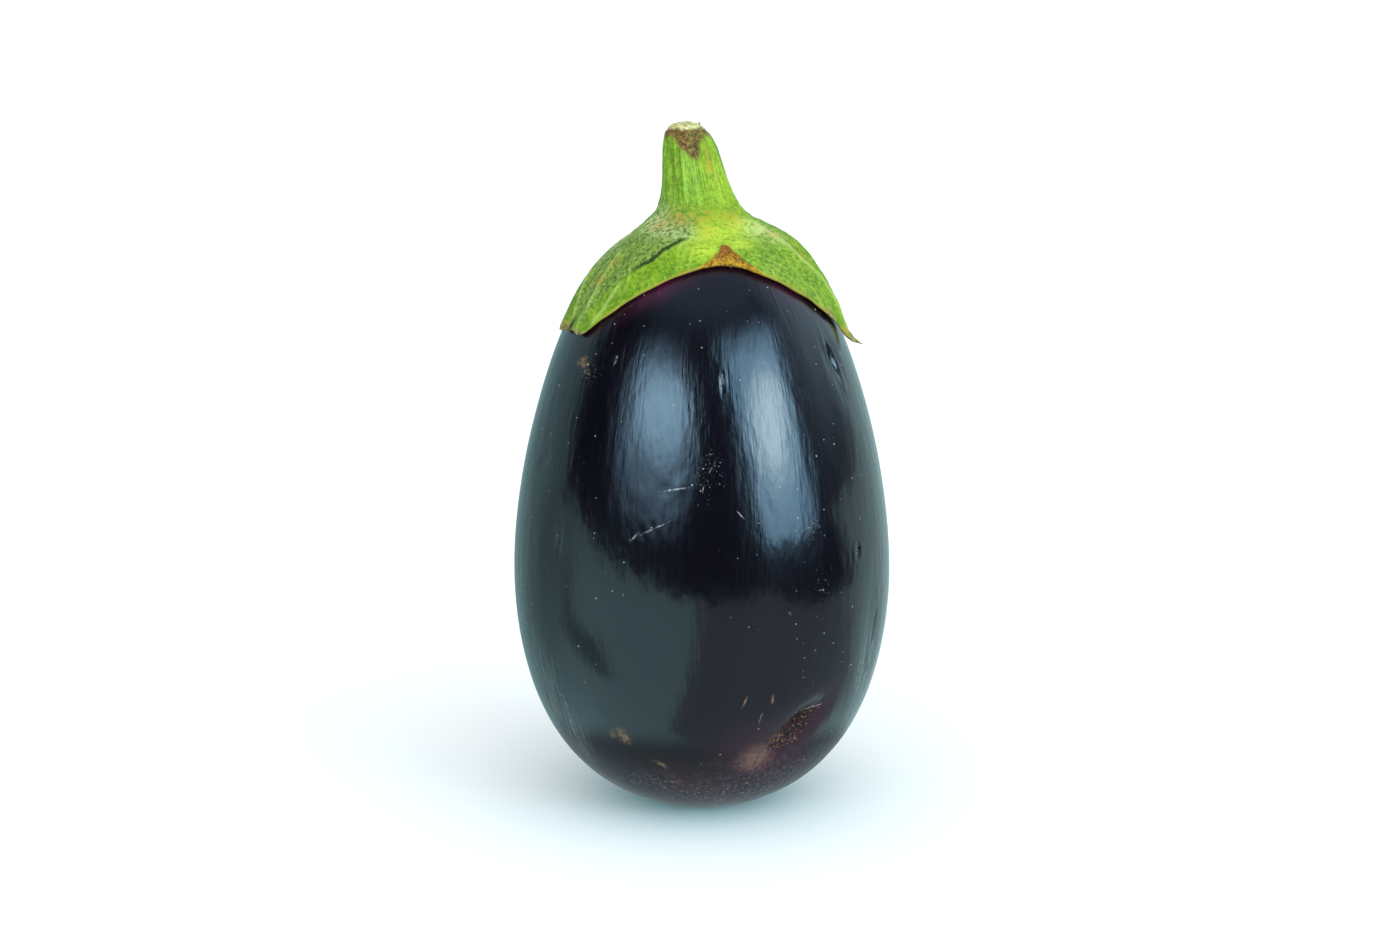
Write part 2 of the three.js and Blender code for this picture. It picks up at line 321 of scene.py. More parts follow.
def distance_to(line):
    """Each cap point's distance from a line of places, signed by its side, and its share of the way."""
    path = []
    for azimuth, arc in line:
        place, axes = skin_frame(azimuth, arc)
        path.append(np.array(place + axes.col[2] * CAP_OUTSIDE))
    best = np.full(len(cap_points), 1e9)
    side, along = np.zeros(len(cap_points)), np.zeros(len(cap_points))
    for i, (a, b) in enumerate(zip(path, path[1:])):
        t = np.clip((cap_points - a) @ (b - a) / ((b - a) @ (b - a)), 0, 1)
        away = cap_points - (a + t[:, None] * (b - a))
        away -= cap_normals * (away * cap_normals).sum(1)[:, None]
        distance = np.linalg.norm(away, axis=1)
        closer = distance < best
        best[closer] = distance[closer]
        side[closer] = -np.sign((np.cross(b - a, away) * cap_normals).sum(1))[closer]
        along[closer] = ((i + t) / (len(path) - 1))[closer]
    return best * side, along


def cap_spot(azimuth, arc, half_width, half_length, lean=0):
    """1 at a place on the cap, fading to 0 away from it; the sizes are in millimetres."""
    place, axes = skin_frame(azimuth, arc, lean)
    local = (cap_points - np.array(place)) @ np.array(axes)
    return bell(np.hypot(local[:, 0] / half_width, local[:, 1] / half_length))


print(len(RIBS), "ribs, and a step with", len(STEP_LINE), "places")


# %% Raise the folds
def ease(low, high, x):
    """0 below low, 1 above high, and a smooth climb between."""
    t = np.clip((x - low) / (high - low), 0, 1)
    return t * t * (3 - 2 * t)


# only the outside is shaped, and nothing right at the edge
outside = ease(0.9, 1.5, cap_out) * ease(0, 1.2, cap_inward + 0.6)
above_step, step_along = distance_to(STEP_LINE)
step_fade = ease(0, 0.15, step_along) * (1 - 0.5 * ease(0.7, 1, step_along))
over_step = ease(-0.3, 0.3, above_step) * bell(np.maximum(above_step, 0) / 8)
cap_relief = 0.8 * over_step * step_fade
pale_ridges = np.zeros(len(cap_points))
for line in RIBS:
    distance, along = distance_to(line)
    ends = ease(0, 0.15, along) * (1 - 0.5 * ease(0.85, 1, along))
    cap_relief += 0.45 * bell(distance / 0.7) * ends
    pale_ridges = np.maximum(pale_ridges, bell(distance / 0.45) * ends)
# the left sepal's tip is folded, and the shade inside the fold is painted dark
tip_fold_and_shade = cap_spot(-68.0, 41.8, 0.9, 2.4, 28)
cap_relief -= 0.8 * tip_fold_and_shade
cap_relief += 0.5 * cap_spot(-72.5, 42.6, 0.9, 2.0, 28)
print("the folds rise by", cap_relief.max().round(2), "mm at most")

# %% Places on the stem
# the stem leans to the left, so its own axis is used: the angle round it, and the height
STEM_FOOT = 141
STEM_HEIGHT = 23.8
STEM_LEAN = Vector((-3.75, 0.94))

up_stem = np.clip((cap_points[:, 2] - STEM_FOOT) / STEM_HEIGHT, 0, 1) ** 0.95
stem_x = cap_points[:, 0] - STEM_LEAN.x * up_stem
stem_y = cap_points[:, 1] - STEM_LEAN.y * up_stem
stem_angle = np.degrees(np.arctan2(stem_x, -stem_y))
on_stem = ease(142.5, 147, cap_points[:, 2])
on_cut = ease(162.2, 162.9, cap_points[:, 2])


def stem_spot(angle, height, half_angle, half_height):
    """1 at a place on the stem, fading to 0 away from it."""
    turned = turn_between(angle, stem_angle)
    return bell(np.hypot(turned / half_angle, (cap_points[:, 2] - height) / half_height))


# flow is a place on a straight tube, 26 mm in radius under the cap and 9 mm under the stem
tube = 26 - 17 * on_stem
around = np.radians(stem_angle)
flow_length = cap_arc + np.clip(cap_points[:, 2] - 142, 0, 99)
flow_cap = np.stack([tube * np.sin(around), -tube * np.cos(around), flow_length], 1)
print("points on the stem:", int((on_stem > 0.5).sum()))

# %% Add the veins and fibres, and move the points
# each height is in millimetres
veins = grain(flow_cap, 1.9, 13, seed=3)
wrinkles = grain(cap_points, 1.8, seed=4)
fibres = grain(flow_cap, 2.6, 26, seed=5) + 0.5 * grain(flow_cap, 1.2, 13, seed=6)
pores = grain(cap_points, 0.8, seed=7)
cap_relief += (1 - on_stem) * (0.2 * veins + 0.14 * wrinkles + 0.08 * pores)
cap_relief += on_stem * (1 - on_cut) * (0.34 * fibres + 0.08 * wrinkles)
cap_relief += on_cut * (0.15 * wrinkles + 0.14 * pores)
cap_relief *= outside
raise_points(cap, cap_points, cap_normals, cap_relief)
print("relief on the cap:", cap_relief.min().round(2), "to", cap_relief.max().round(2), "mm")

# %% [markdown]
# ## What the materials need to know
# A pattern that follows the surface reads values stored on the mesh. Flow is a place on a straight tube as
# wide as the fruit, so streaks that are stretched along it run from top to bottom without a seam.


# %% Store the values
def store(piece, name, values):
    """Keeps a value, or a vector, for each point of the mesh, which a material can then read."""
    kind = "FLOAT_VECTOR" if values.ndim > 1 else "FLOAT"
    attribute = piece.data.attributes.new(name, kind, "POINT")
    attribute.data.foreach_set("vector" if values.ndim > 1 else "value", values.astype(np.float32).ravel())


# as wide as the fruit, in millimetres
FLOW_RADIUS = 45

around = np.radians(fruit_azimuth)
flow_fruit = np.stack([FLOW_RADIUS * np.sin(around), -FLOW_RADIUS * np.cos(around), fruit_arc], 1)
store(fruit, "flow", flow_fruit)
below_cap = fruit_arc - np.interp(fruit_azimuth, edge_azimuths, edge_arcs)
blush_share = 0.12 + 0.75 * bell((fruit_azimuth + 24) / 15) + 0.3 * bell((fruit_azimuth - 48) / 13)
blush = ease(6.5, 0.3, below_cap) * blush_share
store(fruit, "blush", blush)
store(cap, "flow", flow_cap)
store(cap, "inward", cap_inward)
store(cap, "on_stem", on_stem)
store(cap, "height_on_stem", cap_points[:, 2])
print("the purple blush below the cap is", blush.max().round(2), "at most")

# %% Store where the cap's colours change
# the darker layer lies on the front left sepal, and fades out towards the front
on_left = ease(1, -13, cap_azimuth) * (cap_azimuth > -150)
dark_layer = ease(-0.3, 0.3, above_step) * (1 - ease(13, 20, above_step)) * on_left * (1 - on_stem)
mottled_right = np.maximum(0.6 * cap_spot(46, 26, 9, 7), 0.5 * cap_spot(60, 32, 7, 8))
store(cap, "dark_layer", np.maximum(dark_layer, mottled_right))
store(cap, "pale_ridges", pale_ridges * (1 - on_stem))
step_shadow = step_fade * (1 - 0.7 * ease(0.7, 1, step_along)) * bell(above_step / 2)
store(cap, "above_step", above_step)
store(cap, "step_shadow", step_shadow)
store(cap, "tip_fold_and_shade", tip_fold_and_shade)

# azimuth, arc, half width and half length of each patch of dusty bloom
BLOOM = [
    (-24.9, 14.0, 4, 3),
    (-62, 12, 5, 4),
    (-82, 20, 4, 7),
    (60, 14.5, 4, 3.5),
    (66, 18, 2.2, 3),
    (-42, 13, 5, 3.5),
    (150, 18, 5, 9),
]
store(cap, "bloom", np.max([cap_spot(*place) for place in BLOOM], axis=0))
print(len(BLOOM), "patches of bloom")

# %% Store where the cap is dry, yellow or brown, and where light is painted on it
DRY = [
    (-70.5, 43.4, 5.5, 2.0),
    (-58, 43.4, 4, 1.2),
    (80, 49, 2.4, 5.0),
    (70, 40, 2.0, 2.5),
    (133, 43, 2, 2),
    (186, 47, 2, 3),
    (-127, 43, 2, 2),
]
store(cap, "dry", np.max([cap_spot(*place) for place in DRY], axis=0))
# a lighter, yellower patch on the front of the cap: partly its own yellow, partly a painted pool of light
YELLOWED_AND_LIT = [(10, 13.5, 8, 5), (42, 12, 5, 4), (28, 17.5, 4, 2.4), (2, 19, 4, 2.5)]
yellowed_and_lit = [cap_spot(*place) for place in YELLOWED_AND_LIT] + [0.5 * stem_spot(48, 151, 26, 7)]
store(cap, "yellowed_and_lit", np.max(yellowed_and_lit, axis=0))

BROWNED = [
    (66, 17.5, 1.8, 2.6),
    (71.5, 24, 1.2, 3),
    (-49, 12, 3.0, 2.4),
    (-57, 25, 1.6, 1.4),
    (-60, 30, 2.2, 1.6),
    (80, 47, 1.6, 3),
]
browned = [cap_spot(*place) for place in BROWNED]
browned += [stem_spot(4, 144.0, 20, 1.8), stem_spot(43, 143.6, 16, 1.8), stem_spot(-30, 143.4, 16, 2.2)]
browned += [0.85 * stem_spot(5, 141.5, 9, 1.2), stem_spot(37, 156.5, 8, 4.6)]
browned += [0.8 * stem_spot(-170, 152, 12, 5)]
store(cap, "browned", np.max(browned, axis=0))
print(len(DRY), "dry patches and", len(browned), "brown ones")

# %% Store where the bark, the mint green and the cork are
# the ring of bark hangs down from the cut, deepest at the front, and its lower edge follows the fibres
BARK_TOP = 163.9

in_front = ease(-34, -6, stem_angle) * ease(34, 18, stem_angle)
collar_depth = 1.4 + 4.2 * in_front + 1.8 * bell((stem_angle - 12) / 9)
collar_depth += 1.8 * grain(flow_cap, 2.2, 30, seed=8)
store(cap, "collar", ease(-2.6, 1.6, cap_points[:, 2] - (BARK_TOP - collar_depth)))
store(cap, "mint", np.maximum(stem_spot(-4, 153.5, 24, 6.5), 0.6 * stem_spot(120, 152, 30, 8)))

# the cork fills the notch at the front: widest at the cap's edge, and narrowing to nothing above it
CORK_AZIMUTH = 17
CORK_LENGTH = 5.6

cork_height = np.clip(cap_inward / CORK_LENGTH, 0, 1)
cork_away = np.abs(np.radians(cap_azimuth - CORK_AZIMUTH)) * np.interp(cap_arc, section_arc, section_radius)
cork_side = 0.8 * grain(cap_points, 2.2, seed=10) + cork_away
cork_half = 0.8 + 6.6 * (1 - cork_height) ** 1.8
store(cap, "cork", ease(1.6, -1.2, cork_side - cork_half) * (cork_height < 1))
print("stored:", [a.name for a in cap.data.attributes if a.domain == "POINT"])

# %% [markdown]
# ## Tools for the materials
# Colours are written as they look on a screen, in sRGB hex, and turned to the linear values that light
# needs. One function adds a node with its settings and its links. The others join a few nodes to one step
# of a finish, such as a scar's outline or a layer of colour.


# %% Colours and nodes
def colour(code):
    """Linear red, green, blue and alpha from an sRGB hex code."""
    parts = [int(code[i : i + 2], 16) / 255 for i in (1, 3, 5)]
    return [c / 12.92 if c <= 0.04045 else ((c + 0.055) / 1.055) ** 2.4 for c in parts] + [1]


def set_inputs(tree, node, inputs):
    """Each input is a socket's name or number, with a value or another node's output."""
    for socket, value in inputs.items():
        if isinstance(value, bpy.types.NodeSocket):
            tree.links.new(value, node.inputs[socket])
        else:
            node.inputs[socket].default_value = value


def add_node(tree, kind, inputs, **settings):
    """Adds a node, with its inputs and its other settings."""
    node = tree.nodes.new(kind)
    for name, value in settings.items():
        setattr(node, name, value)
    set_inputs(tree, node, inputs)
    return node


def new_material(name):
    material = bpy.data.materials.new(name)
    material.use_nodes = True
    tree = material.node_tree
    return material, tree, tree.nodes["Principled BSDF"]


print("white is", [round(c, 3) for c in colour("#ffffff")])


# %% Marks, patterns and layers of colour
def mark(tree, coords, azimuth, height, half_width, half_length, lean=0, soft=0.5):
    """1 inside an ellipse on the fruit's skin, 0 outside, with an edge as soft as this share of it."""
    place, axes = skin_frame(azimuth, arc_at(height), lean)
    # 12 mm is the reach in depth, enough for a mark to lie on the curved skin
    frame_of_mark = {
        "Vector": coords,
        "Location": place * MM,
        "Rotation": axes.to_euler(),
        "Scale": (half_width * MM, half_length * MM, 12 * MM),
    }
    local = add_node(tree, "ShaderNodeMapping", frame_of_mark, vector_type="TEXTURE")
    size = add_node(tree, "ShaderNodeVectorMath", {0: local.outputs[0]}, operation="LENGTH")
    edge = {"Value": size.outputs["Value"], 1: 1 + soft / 2, 2: 1 - soft / 2, 3: 0.0, 4: 1.0}
    return add_node(tree, "ShaderNodeMapRange", edge, interpolation_type="SMOOTHSTEP").outputs[0]


def strongest(tree, masks):
    """The highest of several masks at each point."""
    result = masks[0]
    for mask in masks[1:]:
        result = add_node(tree, "ShaderNodeMath", {0: result, 1: mask}, operation="MAXIMUM").outputs[0]
    return result


def patchy(tree, mask, pattern, low, high, least=0.0, most=1.0):
    """A mask, or None for everywhere, times a pattern that counts as least at low and most at high."""
    levels = {"Value": pattern, 1: low, 2: high, 3: least, 4: most}
    share = add_node(tree, "ShaderNodeMapRange", levels).outputs[0]
    if mask is None:
        return share
    return add_node(tree, "ShaderNodeMath", {0: mask, 1: share}, operation="MULTIPLY").outputs[0]


def ragged(tree, mask, pattern):
    """A soft mask with a torn edge: it is cut off at a level that a pattern moves up and down."""
    level = patchy(tree, None, pattern, 0.36, 0.64, 0.85, 0.15)
    over = add_node(tree, "ShaderNodeMath", {0: mask, 1: level}, operation="SUBTRACT").outputs[0]
    return patchy(tree, None, over, -0.09, 0.09)


def paint_layers(tree, base, layers):
    """Lays colours over a base in turn, each where its mask is 1. A colour may be hex or a node's output."""
    for mask, over in layers:
        over = colour(over) if isinstance(over, str) else over
        base = add_node(tree, "ShaderNodeMix", {0: mask, 6: base, 7: over}, data_type="RGBA").outputs[2]
    return base


def pattern_of(tree, coords, width, length=None, detail=3.0, roughness=0.5):
    """Noise from 0 to 1, with features of this width and length in millimetres along the coordinates' Z."""
    size = (1 / width, 1 / width, 1 / (length or width))
    place = add_node(tree, "ShaderNodeVectorMath", {0: coords, 1: size}, operation="MULTIPLY")
    look = {"Vector": place.outputs[0], "Scale": 1.0, "Detail": detail, "Roughness": roughness}
    return add_node(tree, "ShaderNodeTexNoise", look).outputs[0]


print("the front's middle in mm:", [round(v, 1) for v in skin_frame(0, arc_at(FRUIT_HEIGHT / 2))[0]])

# %% [markdown]
# ## The skin
# Eggplant skin is a thin, tight rind full of purple pigment, nearly black when ripe, under a layer of
# natural wax. The wax gives two reflections: a clear one from its surface and a hazier one from the skin
# below. A coat over a rougher base does the same. Fine upright streaks in the wax feather the edges of each
# reflection. Dust and tiny pale pores, called lenticels, are dull, so they show best in the dark parts.

# %% Skin: patterns and colour
skin, tree, shader = new_material("waxy_eggplant_skin")
flow = add_node(tree, "ShaderNodeAttribute", {}, attribute_name="flow").outputs["Vector"]
where = add_node(tree, "ShaderNodeTexCoord", {}).outputs["Object"]
in_mm = add_node(tree, "ShaderNodeVectorMath", {0: where, "Scale": 1 / MM}, operation="SCALE").outputs[0]
# streaks about 0.6 mm apart and 9 mm long; the real ones are finer than the picture can show
streaks = pattern_of(tree, flow, 0.6, 9, detail=4.0, roughness=0.65)
clouds = pattern_of(tree, flow, 6, 16, detail=4.0)
dimples = pattern_of(tree, flow, 2.6, 7, detail=2.0)
grit = pattern_of(tree, in_mm, 1.2, detail=5.0, roughness=0.75)
# the blush is the purple skin that the cap kept from the sun
blush = add_node(tree, "ShaderNodeAttribute", {}, attribute_name="blush").outputs["Fac"]
blush_streaks = add_node(tree, "ShaderNodeMath", {0: blush, 1: clouds}, operation="MULTIPLY").outputs[0]
base = paint_layers(tree, colour("#07060a"), [(clouds, "#0f0811"), (blush_streaks, "#5a1238")])
print("the skin's patterns take", len(tree.nodes), "nodes")

# %% Skin: dust, haze and scabs
# azimuth, height, half width, half length, and for the scabs the lean
SCABS = [
    (-52.6, 112.0, 1.1, 1.9, 84),
    (-49.0, 110.2, 0.8, 0.5, 10),
    (-30.0, 26.3, 2.0, 1.1, -30),
    (-27.5, 25.2, 1.6, 1.3, 40),
    (-15.6, 18.9, 0.5, 1.6, -62),
    (-14.2, 18.2, 0.4, 1.3, -40),
    (-11.3, 13.5, 0.5, 1.6, 80),
    (-58.9, 28.3, 0.7, 2.6, -14),
    (13.0, 36.3, 0.2, 1.3, 20),
    (22.0, 36.4, 0.3, 1.1, -4),
    (53.8, 68.0, 0.6, 0.5, 0),
    (26.0, 57.2, 0.5, 0.3, 60),
    (151.0, 30.0, 2.2, 1.2, 30),
    (-170.0, 98.0, 1.0, 2.0, 10),
]
DUSTY = [(6, 5, 22, 10), (30, 10, 16, 10), (-24, 12, 8, 5), (160, 10, 30, 14)]
REDDENED = [(24, 20, 11, 9), (36, 26, 6, 9), (8, 8, 14, 6)]
HAZY = [(-62, 31, 7, 13), (-73, 56, 3.2, 11), (-52, 22, 4, 8), (66, 36, 1.6, 10), (-140, 34, 7, 12)]

scab = strongest(tree, [mark(tree, where, *place, soft=1.7) for place in SCABS])
dusty = strongest(tree, [mark(tree, where, *place, soft=1.7) for place in DUSTY])
reddened = strongest(tree, [mark(tree, where, *place, 40, soft=1.8) for place in REDDENED])
hazy = strongest(tree, [mark(tree, where, *place, soft=1.6) for place in HAZY])
ochre = mark(tree, where, 19.6, 19.9, 3.4, 3.4, soft=1.9)

scab = patchy(tree, scab, grit, 0.42, 0.6, 0.1, 0.85)
dust = patchy(tree, dusty, grit, 0.47, 0.7, most=0.24)
haze = patchy(tree, hazy, streaks, 0.46, 0.68, most=0.32)
ochre = patchy(tree, ochre, grit, 0.4, 0.6, 0.22, 0.5)
red_share = add_node(tree, "ShaderNodeMath", {0: reddened, 1: 0.75}, operation="MULTIPLY").outputs[0]
scab_colour = paint_layers(tree, colour("#2c1c14"), [(grit, "#a88256")])
SKIN_MARKS = [
    (red_share, "#32121e"),
    (dust, "#a48f98"),
    (haze, "#9db4b2"),
    (ochre, "#8f6a58"),
    (scab, scab_colour),
]
base = paint_layers(tree, base, SKIN_MARKS)
print(len(SCABS), "scabs and", len(DUSTY + REDDENED + HAZY), "larger patches")

# %% Skin: the wound
# a torn pit, dark red inside with painted glints, and dried tan threads along its upper left lip
pit = ragged(tree, mark(tree, where, 32.8, 26.1, 3.2, 7.2, 44, soft=0.9), grit)
threads = patchy(tree, mark(tree, where, 28.8, 25.6, 1.1, 3.6, 40, soft=1.6), grit, 0.42, 0.6, 0.1, 0.85)
crumbs = pattern_of(tree, in_mm, 0.6, detail=2.0, roughness=0.6)
torn = patchy(tree, None, crumbs, 0.42, 0.58)
# pale flecks in the pit are painted highlights, glints on the torn tissue
painted_glints_in_pit = patchy(tree, None, crumbs, 0.61, 0.7, most=0.5)
pit_colour = paint_layers(tree, colour("#0c0303"), [(torn, "#39130d"), (painted_glints_in_pit, "#b98455")])
base = paint_layers(tree, base, [(pit, pit_colour), (threads, "#8a5c3c")])
print("so far the skin takes", len(tree.nodes), "nodes")

# %% Skin: pale specks
# pores and dust up to 0.22 mm in radius, in most cells of 2.2 mm, and finer ones in clusters
cells = add_node(tree, "ShaderNodeTexVoronoi", {"Vector": in_mm, "Scale": 1 / 2.2, "Randomness": 1.0})
chosen = add_node(tree, "ShaderNodeSeparateColor", {0: cells.outputs["Color"]})
speck_size = patchy(tree, None, chosen.outputs[0], 0.3, 1.0, most=0.1)
in_speck = {0: cells.outputs["Distance"], 1: speck_size}
specks = add_node(tree, "ShaderNodeMath", in_speck, operation="LESS_THAN").outputs[0]
specks = patchy(tree, specks, chosen.outputs[1], 0.0, 1.0, 0.1, 0.7)
# azimuth, height, half width, half length
CLUSTERS = [(2.2, 89.8, 2.8, 5), (37.5, 61.9, 1.8, 2.2), (35, 75.5, 2.4, 2.4), (-47, 109.5, 3, 2.4)]
CLUSTERS += [(14, 9, 18, 5)]
clustered = strongest(tree, [mark(tree, where, *place, soft=1.4) for place in CLUSTERS])
fine = patchy(tree, clustered, crumbs, 0.63, 0.76, most=0.5)
print(len(CLUSTERS), "clusters of fine specks")

# %% Skin: scratches, and painted glints on two nicks
# azimuth, height, half width, half length, lean
SCRATCHES_AND_GLINTS = [
    (-8.6, 86.5, 0.2, 3.0, 80),
    (-15.4, 77.2, 0.17, 4.4, 63),
    (-20.5, 75.4, 0.24, 1.3, 45),
    # the next three are painted highlights: glints on the nick in the middle and on the nick in the left
    # highlight
    (7.5, 110.8, 0.2, 1.0, 2),
    (7.0, 108.4, 0.2, 0.5, 4),
    (-35.7, 113.7, 0.3, 0.9, 10),
    (11.5, 80.8, 0.15, 1.1, -40),
    (3.2, 91.5, 0.12, 1.5, 30),
    (0.4, 87.0, 0.12, 1.0, 10),
    (66.5, 44.0, 0.14, 6.0, 6),
    (69.5, 30.0, 0.14, 5.0, -10),
    (58.5, 36.0, 0.14, 5.0, 3),
    (60.8, 36.0, 0.14, 7.0, 2),
    (18.7, 31.5, 0.16, 1.4, 10),
    (38.5, 31.2, 0.2, 2.6, 74),
    (-52.5, 33.0, 0.2, 3.4, -30),
]
scratch_and_glint_marks = strongest(tree, [mark(tree, where, *place, soft=1.2) for place in SCRATCHES_AND_GLINTS])
scratches_and_glints = patchy(tree, scratch_and_glint_marks, grit, 0.45, 0.6, 0.03, 0.5)
pale = strongest(tree, [specks, fine, scratches_and_glints])
# pale specks and scratches, with the painted glints
base = paint_layers(tree, base, [(pale, "#c3cbc8")])
print(len(SCRATCHES_AND_GLINTS), "scratches_and_glints")

# %% Skin: gloss and fine bumps
# where it is dull, the skin is rough and the wax over it is thin
dull = strongest(tree, [dust, haze, scab, pit, threads, pale])
waxed = patchy(tree, None, dull, 0.0, 0.8, 0.75, 0.1)
gloss = patchy(tree, None, streaks, 0.3, 0.7, 0.13, 0.22)
roughness = add_node(tree, "ShaderNodeMix", {0: dull, 2: gloss, 3: 0.7}, data_type="FLOAT").outputs[0]
# height, depth in millimetres, strength
SKIN_BUMPS = [(streaks, 0.055, 0.65), (dimples, 0.2, 0.55), (grit, 0.1, 0.25)]
bumps = []
for height, depth, strength in SKIN_BUMPS:
    bump = {"Height": height, "Distance": depth * MM, "Strength": strength}
    if bumps:
        bump["Normal"] = bumps[-1]
    bumps.append(add_node(tree, "ShaderNodeBump", bump).outputs[0])
set_inputs(tree, shader, {"Base Color": base, "Roughness": roughness, "IOR": 1.45, "Normal": bumps[2]})
set_inputs(tree, shader, {"Coat Weight": waxed, "Coat Roughness": 0.1, "Coat IOR": 1.5})
# the wax is smoother than the skin, so its reflection takes the bumps without the grit
set_inputs(tree, shader, {"Coat Normal": bumps[1]})
fruit.data.materials.append(skin)
print(skin.name, "has", len(tree.nodes), "nodes")

# %% [markdown]
# ## The cap and stem
# This is leafy plant tissue with a thick, matt outer layer: yellow-green where it is young and tight,
# darker and speckled where it is thick, paler along the veins, with a dusty bloom. It dries from its edge
# inwards, which leaves a tan rim, and turns to brown cork in the notch where the growing fruit tore it. The
# cut end of the stem has dried pale, with a brown ring of bark. A painted picture could show all this from
# one side; here each is a layer of colour over the green, which follows the shape all round.

# %% Cap: what its layers read
leafy, tree, shader = new_material("leafy_cap_and_stem")
flow = add_node(tree, "ShaderNodeAttribute", {}, attribute_name="flow").outputs["Vector"]
where = add_node(tree, "ShaderNodeTexCoord", {}).outputs["Object"]
in_mm = add_node(tree, "ShaderNodeVectorMath", {0: where, "Scale": 1 / MM}, operation="SCALE").outputs[0]
STORED = ["dry", "yellowed_and_lit", "dark_layer", "pale_ridges", "above_step", "step_shadow", "tip_fold_and_shade", "bloom"]
STORED += ["browned", "collar", "mint", "cork", "inward", "on_stem", "height_on_stem"]
stored = {}
for name in STORED:
    stored[name] = add_node(tree, "ShaderNodeAttribute", {}, attribute_name=name).outputs["Fac"]
veins = pattern_of(tree, flow, 1.3, 11, detail=4.0, roughness=0.6)
mottle = pattern_of(tree, in_mm, 4.5, detail=5.0, roughness=0.6)
speckle = pattern_of(tree, in_mm, 0.9, detail=5.0, roughness=0.75)
# the fibres of the stem are drawn 0.5 mm apart, as fine as the picture can show
fibres = pattern_of(tree, flow, 0.5, 9, detail=4.0, roughness=0.6)
print("the cap reads", len(stored), "stored values and 4 patterns")

# %% Cap: greens, veins and bloom
dark_share = add_node(
    tree, "ShaderNodeMath", {0: stored["dark_layer"], 1: 0.85}, operation="MULTIPLY"
).outputs[0]
dark_green = paint_layers(tree, colour("#84a444"), [(patchy(tree, None, speckle, 0.58, 0.4), "#41592a")])
ridge = add_node(
    tree, "ShaderNodeMath", {0: stored["pale_ridges"], 1: 0.5}, operation="MULTIPLY"
).outputs[0]
GREENS = [
    (patchy(tree, None, mottle, 0.36, 0.64), "#7ba11e"),
    # yellow-green, partly the cap's own colour and partly painted light
    (stored["yellowed_and_lit"], "#aac63a"),
    (patchy(tree, None, speckle, 0.52, 0.66, most=0.55), "#adca46"),
    (patchy(tree, None, speckle, 0.48, 0.36, most=0.8), "#486a18"),
    (dark_share, dark_green),
    (patchy(tree, None, veins, 0.54, 0.72, most=0.45), "#a9cb4e"),
    (patchy(tree, stored["on_stem"], fibres, 0.52, 0.66, most=0.5), "#96c63a"),
    (patchy(tree, stored["on_stem"], fibres, 0.48, 0.34, most=0.6), "#4c7417"),
    (patchy(tree, stored["mint"], fibres, 0.44, 0.62, most=0.3), "#a4da74"),
    (patchy(tree, stored["bloom"], speckle, 0.4, 0.6, most=0.7), "#c6dca4"),
    (ridge, "#bcd07c"),
    (patchy(tree, stored["browned"], speckle, 0.47, 0.6, most=0.85), "#bb7d2c"),
]
green = paint_layers(tree, colour("#588210"), GREENS)
print(len(GREENS), "layers over the green")

# %% Cap: the step's painted shadow and the dry rim
# speckle moves both lines by up to about a millimetre, so they wander as on a real leaf
wobble = {0: speckle, 1: 1.2, 2: stored["above_step"]}
wobble = add_node(tree, "ShaderNodeMath", wobble, operation="MULTIPLY_ADD").outputs[0]
wobble = add_node(tree, "ShaderNodeMath", {0: wobble, 1: 0.75}, operation="SUBTRACT").outputs[0]
from_step = add_node(tree, "ShaderNodeMath", {0: wobble}, operation="ABSOLUTE").outputs[0]
ragged_inward = {0: speckle, 1: 1.2, 2: stored["inward"]}
ragged_inward = add_node(tree, "ShaderNodeMath", ragged_inward, operation="MULTIPLY_ADD").outputs[0]
dry_colour = paint_layers(tree, colour("#55501f"), [(patchy(tree, None, speckle, 0.4, 0.6), "#a59a5c")])
DRY_PARTS = [
    # painted shadow: a thin dark line at the foot of the step
    (patchy(tree, stored["step_shadow"], from_step, 0.5, 0.15), "#2c3812"),
    (patchy(tree, None, ragged_inward, 1.15, 0.75, most=0.85), "#a08c38"),
    (ragged(tree, stored["dry"], speckle), dry_colour),
    # painted shade: dark inside the folded tip
    (stored["tip_fold_and_shade"], "#1f240c"),
]
green = paint_layers(tree, green, DRY_PARTS)
print(len(DRY_PARTS), "layers for the step and the dry rim")

# %% Cap: the cork and the stem's cut
cork_light = paint_layers(
    tree, colour("#8d5a1a"), [(patchy(tree, None, stored["inward"], 3.6, 0.6), "#b28c20")]
)
cork_colour = paint_layers(tree, colour("#4a2c0e"), [(patchy(tree, None, speckle, 0.36, 0.56), cork_light)])
bark_colour = paint_layers(tree, colour("#2e210e"), [(patchy(tree, None, speckle, 0.4, 0.62), "#937241")])
pith_colour = paint_layers(tree, colour("#8e8345"), [(patchy(tree, None, speckle, 0.38, 0.58), "#d2d79c")])
up_ragged = {0: speckle, 1: 1.6, 2: stored["height_on_stem"]}
up_ragged = add_node(tree, "ShaderNodeMath", up_ragged, operation="MULTIPLY_ADD").outputs[0]
BROWNS = [
    (ragged(tree, stored["cork"], speckle), cork_colour),
    (patchy(tree, ragged(tree, stored["collar"], speckle), fibres, 0.3, 0.46), bark_colour),
    (patchy(tree, None, up_ragged, 164.2, 164.8), pith_colour),
]
green = paint_layers(tree, green, BROWNS)
print(len(BROWNS), "layers for the cork, the bark and the cut")

# %% Cap: finish
rough_leaf = add_node(tree, "ShaderNodeMath", {0: speckle, 1: veins}, operation="ADD").outputs[0]
leaf_bump = {"Height": rough_leaf, "Distance": 0.3 * MM, "Strength": 0.8}
leaf_bump = add_node(tree, "ShaderNodeBump", leaf_bump).outputs[0]
set_inputs(tree, shader, {"Base Color": green, "Normal": leaf_bump})
